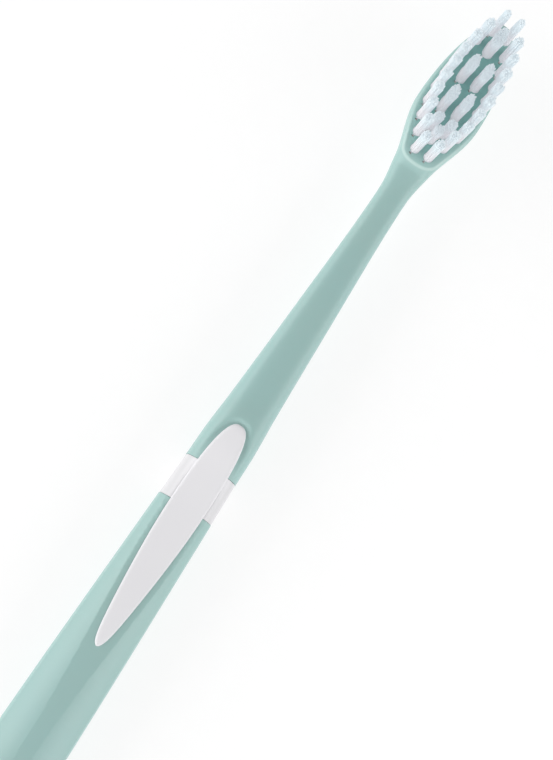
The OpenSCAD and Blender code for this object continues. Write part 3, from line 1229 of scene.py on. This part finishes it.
# The floor and the light.

FLOOR_SIZE = 4
FLOOR_GLOW = 0.74
# The room's light, and what is added where the room itself is seen, straight or mirrored.
ROOM_LIGHT = 0.4
SEEN_LIGHT = 0.6
# Name, place, length, width and brightness.
SOFTBOXES = [
    ("left softbox", (-0.2, 0.74, 0.3), 1.4, 0.6, 2.45),
    ("right softbox", (0, -0.74, 0.3), 1.4, 0.6, 1.85),
    ("end softbox", (-0.75, 0.05, 0.32), 0.7, 0.5, 1.8),
]


def add_floor():
    bpy.ops.object.select_all(action="DESELECT")
    bpy.ops.mesh.primitive_plane_add(size=FLOOR_SIZE)
    floor = bpy.context.active_object
    floor.name = "floor"
    material, shader = new_material(
        "floor", Roughness=0.9, Emission_Color=WHITE, Emission_Strength=FLOOR_GLOW
    )
    paper = grain(place_in(material), 3 * MM)
    feed(shader, "Base Color", between(PAPER, PAPER_LIGHT, paper))
    floor.data.materials.append(material)


def add_world():
    world = bpy.data.worlds.new("room")
    world.use_nodes = True
    background = world.node_tree.nodes["Background"]
    background.inputs["Color"].default_value = WHITE
    seen = world.node_tree.nodes.new("ShaderNodeLightPath")
    straight = Shade(world.node_tree, seen.outputs["Is Camera Ray"])
    mirrored = Shade(world.node_tree, seen.outputs["Is Glossy Ray"])
    feed(background, "Strength", (straight + mirrored) * SEEN_LIGHT + ROOM_LIGHT)
    bpy.context.scene.world = world


def add_softbox(name, place, length, width, brightness):
    """A long panel of even light that faces the brush."""
    bpy.ops.object.light_add(type="AREA", location=place)
    lamp = bpy.context.active_object
    lamp.name = name
    lamp.rotation_euler = (-Vector(place)).to_track_quat("-Z", "Y").to_euler()
    lamp.data.shape = "RECTANGLE"
    lamp.data.size = length
    lamp.data.size_y = width
    lamp.data.energy = brightness * math.pi * length * width
    lamp.visible_camera = False


add_floor()
add_world()
for softbox in SOFTBOXES:
    add_softbox(*softbox)


# Camera at the photograph's viewing angle.

PICTURE_WIDTH = 553
PICTURE_HEIGHT = 760
PIXELS_PER_MM = 6.4
DISTANCE = 332 * MM
TILT = math.radians(9.2)
ROLL = math.radians(3.0)
TURN = math.radians(33.42)
# A point in the head, and where it is in the picture.
TARGET = Vector((78 * MM, 0, 8 * MM))
TARGET_ACROSS = 451.3
TARGET_DOWN = 107.8
SENSOR = 36


def add_camera():
    """The camera looks down at the brush from close by, from over the far end of its pad."""
    focal = PIXELS_PER_MM * DISTANCE / MM
    back = Vector(
        (-math.sin(TILT) * math.cos(ROLL), math.sin(ROLL), math.cos(TILT) * math.cos(ROLL))
    )
    along = (Vector((1, 0, 0)) - back * back.x).normalized()
    across = along.cross(back)
    right = math.sin(TURN) * along + math.cos(TURN) * across
    up = math.cos(TURN) * along - math.sin(TURN) * across
    aside = (TARGET_ACROSS - PICTURE_WIDTH / 2) / focal * DISTANCE
    above = (PICTURE_HEIGHT / 2 - TARGET_DOWN) / focal * DISTANCE
    eye = TARGET + back * DISTANCE - right * aside - up * above
    bpy.ops.object.camera_add()
    camera = bpy.context.active_object
    camera.name = "camera"
    camera.matrix_world = Matrix.Translation(eye) @ Matrix((right, up, back)).transposed().to_4x4()
    camera.data.sensor_fit = "VERTICAL"
    camera.data.sensor_height = SENSOR
    camera.data.lens = focal / PICTURE_HEIGHT * SENSOR
    camera.data.clip_start = 0.01
    camera.data.clip_end = 10
    bpy.context.scene.camera = camera


add_camera()
bpy.context.scene.view_settings.view_transform = "Standard"
